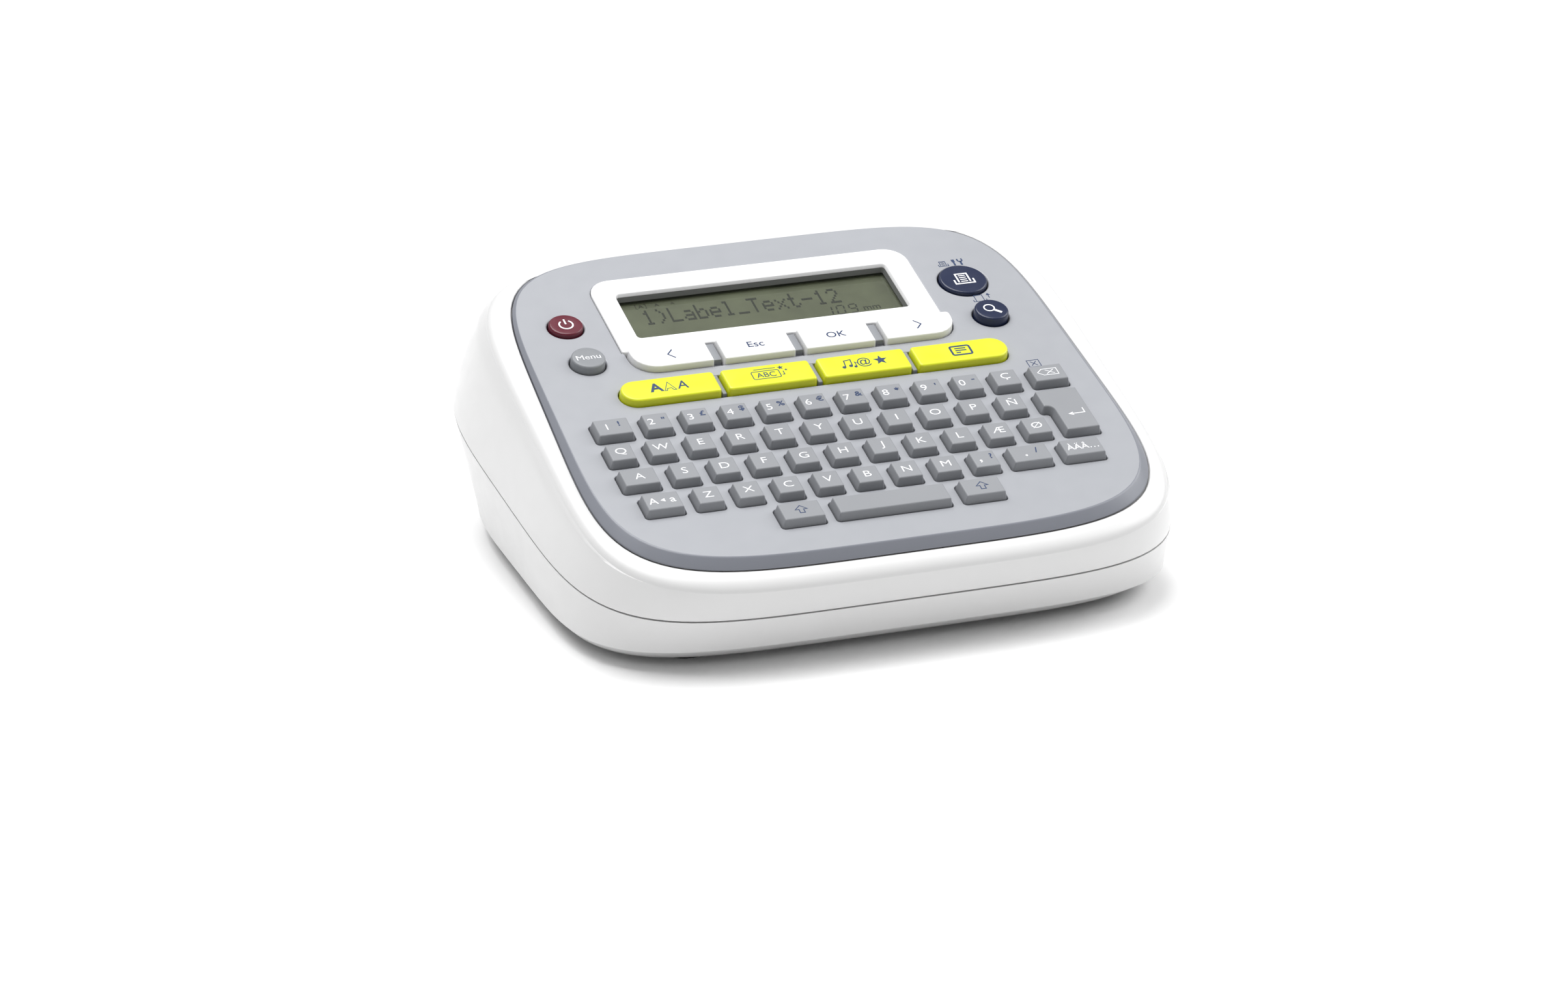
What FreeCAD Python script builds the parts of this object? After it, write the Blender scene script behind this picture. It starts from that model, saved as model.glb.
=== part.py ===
import FreeCAD, Part
import math
import os

# Desktop label maker. Millimetres, +Z up, front towards -Y.
# Origin: centre of the footprint, on the surface the feet stand on.

V = FreeCAD.Vector
os.makedirs("parts", exist_ok=True)

# ---------------------------------------------------------------- driving dimensions
wall = 2.2                       # side walls of both housings
lower_wall = 2.6
seam_gap = 0.3                   # visible groove between the two housings
foot_height = 2.0
floor_thickness = 2.2

deck_tilt = 17.62                # slope of the keypad panel
deck_y = -22.9                   # panel frame: lower edge of the number row
deck_z = 44.3
panel_thickness = 2.4
panel_chamfer = 2.4
ledge = 5.0                      # housing ledge that carries the panel

key_pitch = 10.35
key_height = 2.2                 # key tops above the panel
key_foot = -3.4                  # underside of the keys, below the panel face
key_gap = 0.3
hole_height = 7.9
key_hole_radius = 1.0
key_corner = 0.9
key_shoulder = 0.8               # the side of a key leans in over this height
key_shoulder_inset = 0.35
key_top_inset = 1.1
cutter_foot = -5.0               # the panel's openings are cut from here
cutter_head = 3.0                # up to here, measured from the panel face

# Each ring is one level of the body: a rounded outline that lies on a sloping plane.
rim = dict(half=77.06, front=-77.6, rear=53.1, n_front=4.61, n_rear=5.13, taper=0.0001, z=50.24, slope=0.3343)
seam = dict(half=82.25, front=-74.35, rear=77.65, n_front=4.94, n_rear=3.5, taper=-0.0003, z=26.53, slope=0.166)
keel = dict(half=78.2, front=-70.6, rear=68.4, n_front=4.8, n_rear=4.45, taper=0.0005, z=5.6, slope=0.0)
sole = dict(half=75.0, front=-64.8, rear=65.2, n_front=4.8, n_rear=4.45, taper=0.0005, z=foot_height, slope=0.0)
panel_edge = dict(half=71.64, front=-53.0, rear=77.65, n_front=4.51, n_rear=5.41, taper=0.0007, z=0.0, slope=0.0)

outline_points = 56

deck = FreeCAD.Placement(V(0, deck_y, deck_z), FreeCAD.Rotation(V(1, 0, 0), deck_tilt))
deck_slope = math.tan(math.radians(deck_tilt))


# ---------------------------------------------------------------- helpers
def save(name, shape):
    shape.exportStep("parts/" + name + ".step")


def save_on_deck(name, shape):
    shape.Placement = deck
    save(name, shape)


def ring_wire(ring, inset=0.0, drop=0.0):
    half = ring["half"] - inset
    depth = (ring["rear"] - ring["front"]) / 2 - inset
    middle = (ring["rear"] + ring["front"]) / 2
    points = []
    for i in range(outline_points):
        angle = 2 * math.pi * i / outline_points
        c = math.cos(angle)
        s = math.sin(angle)
        power = ring["n_front"] if s < 0 else ring["n_rear"]
        reach = (abs(c) ** power + abs(s) ** power) ** (-1 / power)
        y = depth * s * reach
        x = half * c * reach * (1 - ring["taper"] * y)
        points.append(V(x, y + middle, ring["z"] + ring["slope"] * (y + middle) - drop))
    curve = Part.BSplineCurve()
    curve.interpolate(points, PeriodicFlag=True)
    return Part.Wire(curve.toShape())


def between(low, high, share):
    return {key: low[key] + share * (high[key] - low[key]) for key in low}


def lofted(wires, ruled=True):
    return Part.makeLoft(wires, True, ruled)


def slab(ring, low, high, inset=0.0):
    return lofted([ring_wire(ring, inset, -low), ring_wire(ring, inset, -high)])


def box(x0, x1, y0, y1, z0, z1):
    return Part.makeBox(x1 - x0, y1 - y0, z1 - z0, V(x0, y0, z0))


def rod(x, y, z0, z1, radius):
    return Part.makeCylinder(radius, z1 - z0, V(x, y, z0))


def tube(x, y, z0, z1, radius, bore):
    return rod(x, y, z0, z1, radius).cut(rod(x, y, z0, z1, bore))


def fuse(shapes):
    joined = shapes[0].fuse(shapes[1:])
    return joined.removeSplitter()


def cut_all(shape, tools):
    return shape.cut(Part.makeCompound(tools))


def rounded_wire(x0, x1, y0, y1, radii, z):
    # radii run counter-clockwise from the front left corner
    corners = [(x0, y0), (x1, y0), (x1, y1), (x0, y1)]
    inward = [(1, 1), (-1, 1), (-1, -1), (1, -1)]
    turn = math.sqrt(0.5)
    marks = []
    for (x, y), (sx, sy), r in zip(corners, inward, radii):
        centre = V(x + sx * r, y + sy * r, z)
        along_x = V(x + sx * r, y, z)
        along_y = V(x, y + sy * r, z)
        middle = centre - V(sx * r * turn, sy * r * turn, 0)
        marks.append((along_x, middle, along_y))
    order = [(marks[0][2], marks[0][1], marks[0][0]), marks[1], (marks[2][2], marks[2][1], marks[2][0]), marks[3]]
    edges = []
    for i, (start, middle, end) in enumerate(order):
        edges.append(Part.Arc(start, middle, end).toShape())
        following = order[(i + 1) % 4][0]
        if end.distanceToPoint(following) > 1e-6:
            edges.append(Part.makeLine(end, following))
    return Part.Wire(edges)


def prism(x0, x1, y0, y1, z0, z1, radii):
    face = Part.Face(rounded_wire(x0, x1, y0, y1, radii, z0))
    return face.extrude(V(0, 0, z1 - z0))


def cap(x0, x1, y0, y1, radii, levels):
    # levels: (height, inset) pairs from the foot to the top
    wires = []
    for height, inset in levels:
        eased = [max(r - inset * 0.5, 0.35) for r in radii]
        wires.append(rounded_wire(x0 + inset, x1 - inset, y0 + inset, y1 - inset, eased, height))
    return lofted(wires)


def key_levels(height):
    return [(key_foot, 0.0), (0.0, 0.0), (height - key_shoulder, key_shoulder_inset), (height, key_top_inset)]


# ---------------------------------------------------------------- keyboard layout (panel frame)
def row_front(row):
    return -key_pitch * row


row_starts = [-53.31, -55.9, -53.31, -50.73]      # right edge of the first key hole in rows 1 to 4


def key_hole(right, width, row, height=hole_height):
    return (right - width, right, row_front(row), row_front(row) + height)


number_width = 8.1
letter_width = 7.9


def letter_holes(row, first, last, width=letter_width):
    return [key_hole(row_starts[row] + key_pitch * i, width, row) for i in range(first, last)]


wide = 10.4
number_left = [key_hole(row_starts[0], wide, 0)] + letter_holes(0, 1, 6, number_width)
number_right = letter_holes(0, 6, 11, number_width)
upper_left = letter_holes(1, 0, 6)
upper_right = letter_holes(1, 6, 11)
home_left = [key_hole(row_starts[2], wide, 2)] + letter_holes(2, 1, 6)
home_right = letter_holes(2, 6, 11)
lower_left = letter_holes(3, 1, 5)
lower_right = letter_holes(3, 5, 9) + [key_hole(46.1, 11.7, 3)]

key_groups = {
    "keys_number_left": number_left,
    "keys_number_right": number_right,
    "keys_upper_left": upper_left,
    "keys_upper_right": upper_right,
    "keys_home_left": home_left,
    "keys_home_right": home_right,
    "keys_lower_left": lower_left,
    "keys_lower_right": lower_right,
    "key_case": [key_hole(row_starts[3], 10.6, 3)],
    "key_backspace": [key_hole(62.95, 10.3, 0)],
    "key_accent": [key_hole(60.3, 11.9, 3)],
    "key_shift_left": [key_hole(-18.0, 12.0, 4)],
    "key_space": [key_hole(14.9, 30.6, 4)],
    "key_shift_right": [key_hole(29.3, 11.8, 4)],
}

# The enter key is an L: a full-width head in row 2 and a narrower foot in row 3.
enter_right = 63.0
enter_head_left = 50.4
enter_foot_left = 52.7

round_buttons = {                 # x, y, hole radius, height
    "button_power": (-56.1, 49.1, 4.77, 1.0),
    "button_menu": (-55.4, 33.1, 4.75, 2.1),
    "button_print": (52.3, 49.0, 6.69, 0.75),
    "button_preview": (53.8, 33.0, 4.85, 2.1),
}

white_front = 26.2
white_rear = 35.1
white_keys = {                    # left, right, corner radii
    "button_left": (-44.6, -24.0, [6.5, 0.6, 0.6, 1.2]),
    "button_escape": (-21.2, -2.1, [0.6] * 4),
    "button_ok": (0.7, 19.6, [0.6] * 4),
    "button_right": (22.6, 42.6, [0.6, 6.5, 1.2, 0.6]),
}

lime_front = 13.2
lime_rear = 21.8
lime_end = 4.2
lime_keys = {
    "button_style": (-52.0, -26.4, [lime_end, 0.6, 0.6, lime_end]),
    "button_frame": (-24.7, -0.9, [0.6] * 4),
    "button_symbol": (0.9, 24.7, [0.6] * 4),
    "button_template": (26.5, 52.0, [0.6, lime_end, lime_end, 0.6]),
}

# ---------------------------------------------------------------- display (panel frame)
surround_left = -45.5
surround_right = 41.2
surround_front = 35.4
surround_rear = 66.4
surround_corner = 6.0
surround_proud = 0.5
surround_foot = -1.9
lens_thickness = 0.7
lcd_top = -2.7
lcd_glass = 1.8
lcd_board_foot = -8.6
window_left = -39.2
window_right = 34.2
window_front = 41.0
window_rear = 59.5
bevel = 0.8

# ---------------------------------------------------------------- bays and mechanism (row frame)
bay_left = -70.0
bay_right = 67.0
bay_front = -8.0
bay_rear = 42.0
bay_wall = 1.6
divider_x = -0.2
bay_top = 25.0
divider_half = 0.8
battery_top = 17.6
cover_thickness = 1.8            # its front edge is rounded about the hinge axis
cell_radius = 5.15
cell_length = 44.0
cell_pitch = 10.8
cell_first = 6.6
cell_z = 10.9

cassette = (-57.0, -1.4, -6.0, 40.0, 5.6, 22.0)      # left, right, front, rear, foot, top
cassette_wall = 1.2
head_bay_right = -49.0           # notch in the cassette where the print head and roller meet
head_bay_front = 9.0
head_bay_rear = 27.0
tape_x = -55.0
tape_low = 7.6
tape_high = 19.6
tape_thickness = 0.16
tape_roll = (-16.6, 9.5, 13.4)       # x, y, radius
supply_roll = (-27.0, 31.0, 6.6)

gear_module = 0.8
pinion_teeth = 10
first_teeth = 40
first_small_teeth = 15
second_teeth = 32
platen_teeth = 22
spindle = 1.5
running = 0.05
platen_radius = 4.0
platen = (tape_x - tape_thickness / 2 - 0.08 - platen_radius, 18.0)
motor = (-20.5, 54.3)
motor_radius = 9.3

holder_pivot = (-64.3, 37.2)
cutter_pivot = (-48.5, 59.0)
cutter_post_top = 24.0
exit_rear = 80.0                 # openings in the rear wall are cut from inside to here
exit_front = 60.0
slot_half = 2.4
slot_low = 7.0
slot_high = 23.0
window_inner = -26.6             # opening for the cutter lever
window_outer = -44.0
window_low = 7.4
window_high = 22.6
guide_left = tape_x - 4.2
guide_right = tape_x - 2.6
jack_radius = 5.2
jack_nose_radius = 4.9
jack_socket_radius = 3.1
jack_pin_radius = 0.8
jack_half = 5.4

screw_spots = [(-66.0, -40.0), (66.0, -40.0), (-62.0, 53.0), (62.0, 53.0)]
foot_spots = [(-52.0, -53.0), (52.0, -53.0), (-47.0, 55.0), (47.0, 55.0)]
jack_x = 52.0
jack_z = 12.5
screw_radius = 1.4
screw_clearance = 1.6
screw_pilot = 1.45
head_radius = 3.0
head_recess = 3.3
head_seat = 4.6                  # height of the screw heads' inner face
lower_boss = 3.6
upper_boss = 3.4
foot_radius = 5.4
foot_pocket = 5.6
foot_recess = 0.8
post_radius = 1.6
sheet_inset = 8.0                # rubber sheet and board stop this far inside the panel's edge
sheet_high = -4.6
sheet_low = -5.6
board_low = -7.2
above_all = 80.0                 # cutters that must clear the whole object end here


def pitch_radius(teeth):
    return teeth * gear_module / 2


def towards(point, distance, angle):
    return (point[0] + distance * math.cos(angle), point[1] + distance * math.sin(angle))


def angle_to(a, b):
    return math.atan2(b[1] - a[1], b[0] - a[0])


second_gear = towards(platen, pitch_radius(second_teeth) + pitch_radius(platen_teeth), math.radians(15))
reach_second = pitch_radius(first_small_teeth) + pitch_radius(second_teeth)
reach_motor = pitch_radius(first_teeth) + pitch_radius(pinion_teeth)
span = math.hypot(motor[0] - second_gear[0], motor[1] - second_gear[1])
swing = math.acos((reach_second ** 2 + span ** 2 - reach_motor ** 2) / (2 * reach_second * span))
first_gear = towards(second_gear, reach_second, angle_to(second_gear, motor) - swing)


def gear(centre, teeth, z0, z1, phase, bore):
    # phase: direction of one tooth's centre line
    pitch = pitch_radius(teeth)
    tip = pitch + 0.85 * gear_module
    root = pitch - 1.2 * gear_module
    step = 2 * math.pi / teeth
    profile = [(root, -0.30), (tip, -0.11), (tip, 0.11), (root, 0.30)]
    points = []
    for i in range(teeth):
        for radius, share in profile:
            x, y = towards(centre, radius, phase + step * (i + share))
            points.append(V(x, y, z0))
    points.append(points[0])
    blank = Part.Face(Part.makePolygon(points)).extrude(V(0, 0, z1 - z0))
    if bore > 0:
        blank = blank.cut(rod(centre[0], centre[1], z0, z1, bore))
    return blank


def mesh_phase(own, teeth, other):
    # a gap of this gear faces the other gear's tooth
    return angle_to(own, other) + math.pi / teeth


# ---------------------------------------------------------------- lower housing
outer_lower = lofted([ring_wire(sole), ring_wire(keel)]).fuse(lofted([ring_wire(keel), ring_wire(seam)]))
inner_floor = foot_height + floor_thickness
keel_inner = dict(keel, z=inner_floor + 1.4)
sole_inner = dict(sole, z=inner_floor)
inner_lower = lofted([ring_wire(sole_inner, lower_wall), ring_wire(keel_inner, lower_wall)]).fuse(
    lofted([ring_wire(keel_inner, lower_wall), ring_wire(seam, lower_wall)]))
lip_low = between(seam, keel, 0.2)
lip_high = between(seam, rim, 0.09)
lip_outer = wall + 0.25
lip_top = wall + 1.0
lip_thickness = 1.0
lip = lofted([ring_wire(lip_low, lip_outer), ring_wire(seam, lip_outer), ring_wire(lip_high, lip_top)]).cut(
    lofted([ring_wire(ring, inset + lip_thickness) for ring, inset in
            ((lip_low, lip_outer), (seam, lip_outer), (lip_high, lip_top))]))
lip = cut_all(lip, [rod(x, y, 0, above_all, lower_boss + 0.4) for x, y in screw_spots])

seam_cut = lofted([ring_wire(seam, -1.0, seam_gap / 2), ring_wire(seam, -1.0, -60)])
shell = outer_lower.cut(inner_lower).cut(seam_cut)

bays = [
    box(bay_left - bay_wall, divider_x + divider_half, bay_front - bay_wall, bay_rear + bay_wall,
        foot_height, bay_top),
    box(divider_x - divider_half, bay_right + bay_wall, bay_front - bay_wall, bay_rear + bay_wall,
        foot_height, battery_top + bay_wall),
]
bay_solid = fuse(bays).common(outer_lower)
tape_outlet = box(tape_x - 1.2, tape_x + 1.2, bay_rear - 1, bay_rear + bay_wall + 1, 6.8, 20.4)
bay_void = [
    tape_outlet,
    box(bay_left, bay_right, bay_front, bay_rear, foot_height - 1, inner_floor),
    box(bay_left, divider_x - divider_half, bay_front, bay_rear, foot_height - 1, bay_top + 1),
    box(divider_x + divider_half, bay_right, bay_front, bay_rear, foot_height - 1, battery_top),
]
bosses = [rod(x, y, foot_height + 1, above_all, lower_boss) for x, y in screw_spots]
boss_solid = Part.makeCompound(bosses).common(outer_lower).cut(seam_cut)
post_cutter = rod(*cutter_pivot, inner_floor - 0.5, cutter_post_top, spindle)
guide_wall = box(guide_left, guide_right, 54.5, 67.0, inner_floor - 0.5, slot_high + 0.4)
lower = fuse([shell, bay_solid, lip, post_cutter, guide_wall.common(outer_lower)] + boss_solid.Solids)
slot = box(tape_x - slot_half, tape_x + slot_half, exit_front, exit_rear, slot_low, slot_high)
lever_window = box(window_outer, window_inner, exit_front + 2, exit_rear, window_low, window_high)
jack_hole = Part.makeCylinder(jack_radius, exit_rear - exit_front, V(jack_x, exit_front, jack_z), V(0, 1, 0))
screw_holes = [rod(x, y, 0, above_all, screw_clearance) for x, y in screw_spots]
screw_heads = [rod(x, y, 0, head_seat, head_recess) for x, y in screw_spots]
foot_pockets = [rod(x, y, 0, foot_height + foot_recess, foot_pocket) for x, y in foot_spots]
lower = cut_all(lower, bay_void + [slot, lever_window, jack_hole] + screw_holes + screw_heads + foot_pockets)
save("lower_housing", lower)

# ---------------------------------------------------------------- upper housing
rim_drop = 1.3                   # the top edge is eased over this height and width
rim_ease = 1.1
rim_round = dict(rim, z=rim["z"] - rim_drop)
outer_upper = lofted([ring_wire(seam), ring_wire(rim_round), ring_wire(rim, rim_ease)])
deck_under = dict(rim, slope=deck_slope, z=deck_z - deck_y * deck_slope - (panel_thickness + wall) * 1.05)
inner_upper = lofted([ring_wire(seam, wall, 2.0), ring_wire(seam, wall), ring_wire(deck_under, wall + 0.5)])
panel_seat = slab(panel_edge, -panel_thickness, 12.0, -0.25)
panel_seat.Placement = deck
deck_hole = slab(panel_edge, -14.0, 2.0, ledge)
deck_hole.Placement = deck
upper_bosses = [rod(x, y, inner_floor, above_all, upper_boss) for x, y in screw_spots]
upper_boss_solid = Part.makeCompound(upper_bosses).common(outer_upper)
seam_floor = lofted([ring_wire(seam, -1.0, -seam_gap / 2), ring_wire(seam, -1.0, 50)])
upper = outer_upper.cut(inner_upper)
upper = fuse([upper] + upper_boss_solid.Solids).cut(seam_floor)
screw_tops = [28, 28, 44, 44]
screw_pilots = [rod(x, y, 0, top + 2, screw_pilot) for (x, y), top in zip(screw_spots, screw_tops)]
upper = cut_all(upper, [panel_seat, deck_hole] + screw_pilots)
save("upper_housing", upper)

# ---------------------------------------------------------------- keypad panel
panel = lofted([
    ring_wire(panel_edge, 0.0, panel_thickness),
    ring_wire(panel_edge, 0.0, panel_chamfer * 0.8),
    ring_wire(panel_edge, panel_chamfer, 0.0),
])
pocket = prism(surround_left - 0.1, surround_right + 0.1, surround_front - 0.2, surround_rear + 0.1,
               cutter_foot, cutter_head, [1.0, 1.0, surround_corner, surround_corner])
holes = [pocket]
for hole_list in key_groups.values():
    for x0, x1, y0, y1 in hole_list:
        holes.append(prism(x0, x1, y0, y1, cutter_foot, cutter_head, [key_hole_radius] * 4))
enter_head = (enter_head_left, enter_right, row_front(1), row_front(1) + hole_height)
enter_foot = (enter_foot_left, enter_right, row_front(2), row_front(1) + hole_height)
for part in (enter_head, enter_foot):
    holes.append(prism(*part, cutter_foot, cutter_head, [key_hole_radius] * 4))
for x, y, radius, height in round_buttons.values():
    holes.append(rod(x, y, cutter_foot, cutter_head, radius))
for left, right, radii in white_keys.values():
    holes.append(prism(left - key_gap, right + key_gap, white_front - key_gap, white_rear + key_gap,
                       cutter_foot, cutter_head, radii))
for left, right, radii in lime_keys.values():
    holes.append(prism(left - key_gap, right + key_gap, lime_front - key_gap, lime_rear + key_gap,
                       cutter_foot, cutter_head, radii))
board_posts = [(-58, 14), (58, 14), (-38, -37), (38, -37), (-51, 60), (51, 60)]
posts = [rod(x, y, sheet_low, -panel_thickness + 0.1, post_radius) for x, y in board_posts]
panel = fuse([cut_all(panel, holes)] + posts)
save_on_deck("keypad_panel", panel)

# ---------------------------------------------------------------- display
surround = prism(surround_left, surround_right, surround_front, surround_rear, surround_foot, surround_proud,
                 [0.6, 0.6, surround_corner, surround_corner])
opening = lofted([
    rounded_wire(window_left + bevel, window_right - bevel, window_front + bevel, window_rear - bevel,
                 [0.5] * 4, surround_foot),
    rounded_wire(window_left, window_right, window_front, window_rear, [0.8] * 4, surround_proud),
])
save_on_deck("display_surround", surround.cut(opening))
lens_margin = 2.0
lens = prism(window_left - lens_margin, window_right + lens_margin, window_front - lens_margin,
             window_rear + lens_margin, surround_foot - lens_thickness, surround_foot, [1.0] * 4)
save_on_deck("display_window", lens)
lcd = fuse([
    prism(window_left - lens_margin, window_right + lens_margin, window_front - lens_margin,
          window_rear + lens_margin, lcd_top - lcd_glass, lcd_top, [0.4] * 4),
    prism(surround_left + 2, surround_right - 2, window_front - 3, window_rear + 4,
          lcd_board_foot, lcd_top - lcd_glass + 0.1, [0.6] * 4),
])
save_on_deck("lcd_module", lcd)

# ---------------------------------------------------------------- rubber sheet and keyboard board
lcd_space = box(surround_left - 1, surround_right + 1, window_front - 4, 90, -20, 5)
post_holes = [rod(x, y, board_low, 0, post_radius + 0.4) for x, y in board_posts]
sheet = cut_all(slab(panel_edge, sheet_low, sheet_high, sheet_inset), [lcd_space] + post_holes)
save_on_deck("key_membrane", sheet)
board_pad = slab(panel_edge, board_low, sheet_low, sheet_inset).cut(lcd_space)
save_on_deck("keyboard_board", board_pad)

# ---------------------------------------------------------------- keys
def key_cap(x0, x1, y0, y1):
    return cap(x0 + key_gap, x1 - key_gap, y0 + key_gap, y1 - key_gap, [key_corner] * 4, key_levels(key_height))


for name, hole_list in key_groups.items():
    caps = [key_cap(*hole) for hole in hole_list]
    save_on_deck(name, caps[0] if len(caps) == 1 else Part.makeCompound(caps))

save_on_deck("key_enter", fuse([key_cap(*enter_head), key_cap(*enter_foot)]))

round_edge = 0.5
for name, (x, y, radius, height) in round_buttons.items():
    stem = rod(x, y, key_foot, height - round_edge, radius - key_gap)
    crown = Part.makeCone(radius - key_gap, radius - key_gap - 0.6, round_edge, V(x, y, height - round_edge))
    save_on_deck(name, fuse([stem, crown]))

white_levels = [(key_foot, 0.0), (0.9, 0.0), (1.5, 0.5)]
for name, (left, right, radii) in white_keys.items():
    save_on_deck(name, cap(left, right, white_front, white_rear, radii, white_levels))

lime_levels = [(key_foot, 0.0), (1.0, 0.0), (1.7, 0.6)]
for name, (left, right, radii) in lime_keys.items():
    save_on_deck(name, cap(left, right, lime_front, lime_rear, radii, lime_levels))

# ---------------------------------------------------------------- underside cover, feet, screws
cover_axis_y = bay_front + key_gap + cover_thickness / 2
cover_axis_z = foot_height + cover_thickness / 2
cover_left = bay_left + key_gap
cover_right = bay_right - key_gap
cover = fuse([
    box(cover_left, cover_right, cover_axis_y, bay_rear - key_gap, foot_height, foot_height + cover_thickness),
    Part.makeCylinder(cover_thickness / 2, cover_right - cover_left,
                      V(cover_left, cover_axis_y, cover_axis_z), V(1, 0, 0)),
])
grip_pitch = 3.0
grip_first = -6.0
grip_starts = [grip_first + grip_pitch * i for i in range(5)]
grip = [box(x, x + 1, bay_rear - 8, bay_rear - 2, foot_height - 0.1, foot_height + 0.6) for x in grip_starts]
save("battery_cover", cut_all(cover, grip))
feet = [rod(x, y, 0, foot_height + foot_recess, foot_radius) for x, y in foot_spots]
save("rubber_feet", Part.makeCompound(feet))

screws = []
head_low = 3.0
cross_long = 1.6
cross_half = 0.35
cross_deep = 0.8
for (x, y), top in zip(screw_spots, screw_tops):
    head = rod(x, y, head_low, head_seat, head_radius)
    cross = [box(x - a, x + a, y - b, y + b, head_low - 0.1, head_low + cross_deep)
             for a, b in ((cross_long, cross_half), (cross_half, cross_long))]
    screws.append(cut_all(fuse([head, rod(x, y, head_seat - 0.1, top, screw_radius)]), cross))
save("case_screws", Part.makeCompound(screws))

# ---------------------------------------------------------------- batteries and contacts
cell_count = 6
nub_radius = 1.9
nub_length = 1.0
spring_radius = 3.0
spring_bore = 2.4
spring_thick = 2.0
contact_half = 4.0
contact_rear = 0.05              # gap between a contact plate and the bay's wall
contact_front = 0.4
cells = []
contacts = []
for i in range(cell_count):
    x = cell_first + cell_pitch * i
    y0 = bay_front + 2.6
    body = Part.makeCylinder(cell_radius, cell_length - nub_length, V(x, y0, cell_z), V(0, 1, 0))
    facing_rear = i % 2 == 0
    nub_y = y0 + cell_length - 1.2 if facing_rear else y0 - 0.8
    nub = Part.makeCylinder(nub_radius, nub_length, V(x, nub_y, cell_z), V(0, 1, 0))
    cells.append(fuse([body, nub]))
    spring_y = bay_front + contact_front if facing_rear else y0 + cell_length - 0.8
    spring = Part.makeCylinder(spring_radius, spring_thick, V(x, spring_y, cell_z), V(0, 1, 0))
    hollow = Part.makeCylinder(spring_bore, spring_thick, V(x, spring_y, cell_z), V(0, 1, 0))
    contacts.append(spring.cut(hollow))
    for y_low in (bay_front + contact_rear, bay_rear - contact_front):
        contacts.append(box(x - contact_half, x + contact_half, y_low, y_low + contact_front - contact_rear,
                            cell_z - contact_half, cell_z + contact_half))
save("batteries", Part.makeCompound(cells))
save("battery_contacts", Part.makeCompound(contacts))

# ---------------------------------------------------------------- tape cassette
cx0, cx1, cy0, cy1, cz0, cz1 = cassette
case_outer = prism(cx0, cx1, cy0, cy1, cz0, cz1, [3, 3, 3, 3])
case_inner = prism(cx0 + cassette_wall, cx1 - cassette_wall, cy0 + cassette_wall, cy1 - cassette_wall,
                   cz0 + cassette_wall, cz1 - cassette_wall, [2, 2, 2, 2])
head_bay_wall = box(cx0 + 0.2, head_bay_right + 1.0, head_bay_front - 1, head_bay_rear + 1, cz0, cz1)
head_bay = box(cx0 - 1, head_bay_right, head_bay_front, head_bay_rear, cz0 - 1, cz1 + 1)
tape_gate = box(tape_x - 0.6, tape_x + 0.6, head_bay_front - 2, cy1 + 1, tape_low - 0.5, tape_high + 0.5)
take_up_hole = rod(second_gear[0], second_gear[1], cz1 - 3, cz1 + 1, 2.4)
case = fuse([case_outer.cut(case_inner), head_bay_wall])
case = cut_all(case, [head_bay, tape_gate, take_up_hole])
save("cassette_case", case)


def spool(x, y, radius, core, z0, z1):
    return fuse([tube(x, y, z0, z1, core, core - 1.2), tube(x, y, z0 + 0.4, z1 - 0.4, radius, core - 0.4)])


roll_low = tape_low - 0.3
roll_high = tape_high + 0.3
tape_core = 8.0
ribbon_core = 4.0
takeup_radius = 6.0
takeup_core = 3.4
save("tape_spool", spool(*tape_roll, tape_core, roll_low, roll_high))
save("ribbon_supply_spool", spool(*supply_roll, ribbon_core, roll_low, roll_high))
save("ribbon_takeup_spool", spool(*second_gear, takeup_radius, takeup_core, roll_low, roll_high))

run_y = tape_roll[1] - tape_roll[2] - 0.3
half_tape = tape_thickness / 2
tape_end = 50.0
corner = 1.6
tape_run = fuse([
    box(tape_x + corner, tape_roll[0], run_y - half_tape, run_y + half_tape, tape_low, tape_high),
    box(tape_x - half_tape, tape_x + half_tape, run_y + corner, tape_end, tape_low, tape_high),
    tube(tape_x + corner, run_y + corner, tape_low, tape_high, corner + half_tape, corner - half_tape).common(
        box(tape_x - 1, tape_x + corner, run_y - 1, run_y + corner, tape_low, tape_high)),
])
save("label_tape", tape_run)

# ---------------------------------------------------------------- mechanism
holder_pin_low = 6.0
plate_low = bay_top + 0.05
plate_high = bay_top + 1.25
plate = fuse([
    box(bay_left - 1.2, divider_x + 0.6, bay_front - 1.2, bay_rear + 1.4, plate_low, plate_high),
    box(motor[0] - 12, motor[0] + 12, bay_rear, motor[1] + 10.5, plate_low, plate_high),
])
shaft_slot = box(platen[0] - 4.4, platen[0] + 2.6, platen[1] - 2.8, platen[1] + 3.4, plate_low - 1, plate_high + 1)
plate = cut_all(plate, [shaft_slot, rod(*second_gear, plate_low - 1, plate_high + 1, 2.2),
                        rod(*motor, plate_low - 1, plate_high + 1, 2.0)])
first_spindle_top = 34.6
plate = fuse([plate, rod(*first_gear, plate_low, first_spindle_top, spindle),
              rod(*holder_pivot, holder_pin_low, plate_low + 0.5, spindle)])
save("mechanism_plate", plate)

head_rear = tape_x + 1.3         # ceramic printing face in front, heat sink behind it
sink_rear = tape_x + 3.4
save("print_head", fuse([
    box(tape_x + half_tape + 0.1, head_rear, 12.0, 24.0, 6.6, bay_top),
    box(head_rear, sink_rear, 11.0, 25.0, 6.0, bay_top),
]))

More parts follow.
